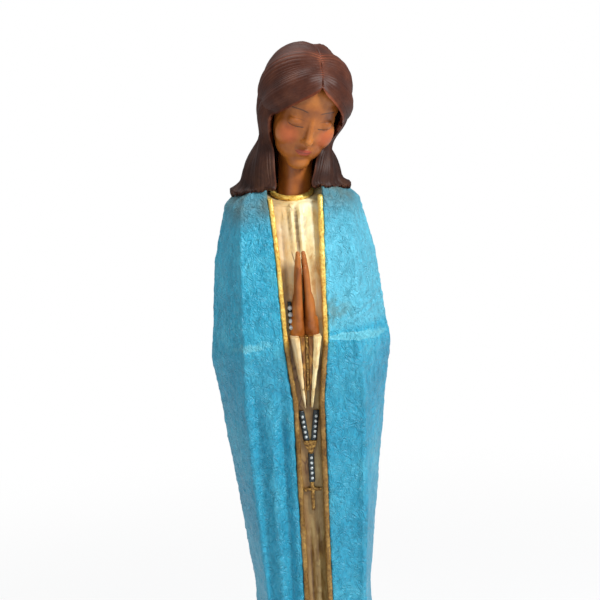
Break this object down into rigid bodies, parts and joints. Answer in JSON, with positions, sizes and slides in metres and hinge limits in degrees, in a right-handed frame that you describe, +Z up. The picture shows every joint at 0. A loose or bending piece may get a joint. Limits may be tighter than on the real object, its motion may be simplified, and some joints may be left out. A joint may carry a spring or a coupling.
{
  "type": "madonna statue",
  "caption": "Slim standing Madonna in painted cast plaster with a sky-blue mantle, gilt edges, praying hands and a relief rosary, on a low round plinth.",
  "frame": {"origin": "centre of the felt pad's underside, on the surface that the statue stands on", "axes": "+Z up along the height, the figure faces -Y, and its left side is +X"},
  "size_m": [0.144, 0.1253, 0.592],
  "materials": {
    "blue_plaster": "satin",
    "cream_plaster": "satin",
    "hair_paint": "satin",
    "skin_paint": "satin",
    "gilt": "satin",
    "lining_paint": "satin",
    "bead_paint": "gloss",
    "cord_paint": "satin",
    "steel": "satin",
    "felt": "matte"
  },
  "bodies": {
    "root": {"plinth": "blue_plaster", "felt_pad": "felt", "armature_rod": "steel", "fixing_washer": "steel", "fixing_nut": "steel", "gown_body": "cream_plaster", "mantle_back": "blue_plaster", "mantle_right": "blue_plaster", "mantle_left": "blue_plaster", "gilt_edge_right": "gilt", "gilt_edge_left": "gilt", "neckline_band": "gilt", "head": "skin_paint", "hair_crown": "hair_paint", "hair_right": "hair_paint", "hair_left": "hair_paint", "hair_back": "hair_paint", "hand_right": "skin_paint", "hand_left": "skin_paint", "hand_pins": "steel", "sleeve_right": "cream_plaster", "sleeve_left": "cream_plaster", "cuff_lining_right": "lining_paint", "cuff_lining_left": "lining_paint", "cuff_edging": "gilt", "rosary_cord": "cord_paint", "rosary_beads_right": "bead_paint", "rosary_beads_left": "bead_paint", "rosary_beads_pendant": "bead_paint", "rosary_centrepiece": "gilt", "rosary_crucifix": "gilt", "rosary_hand_loop": "cord_paint"}
  },
  "joints": []
}
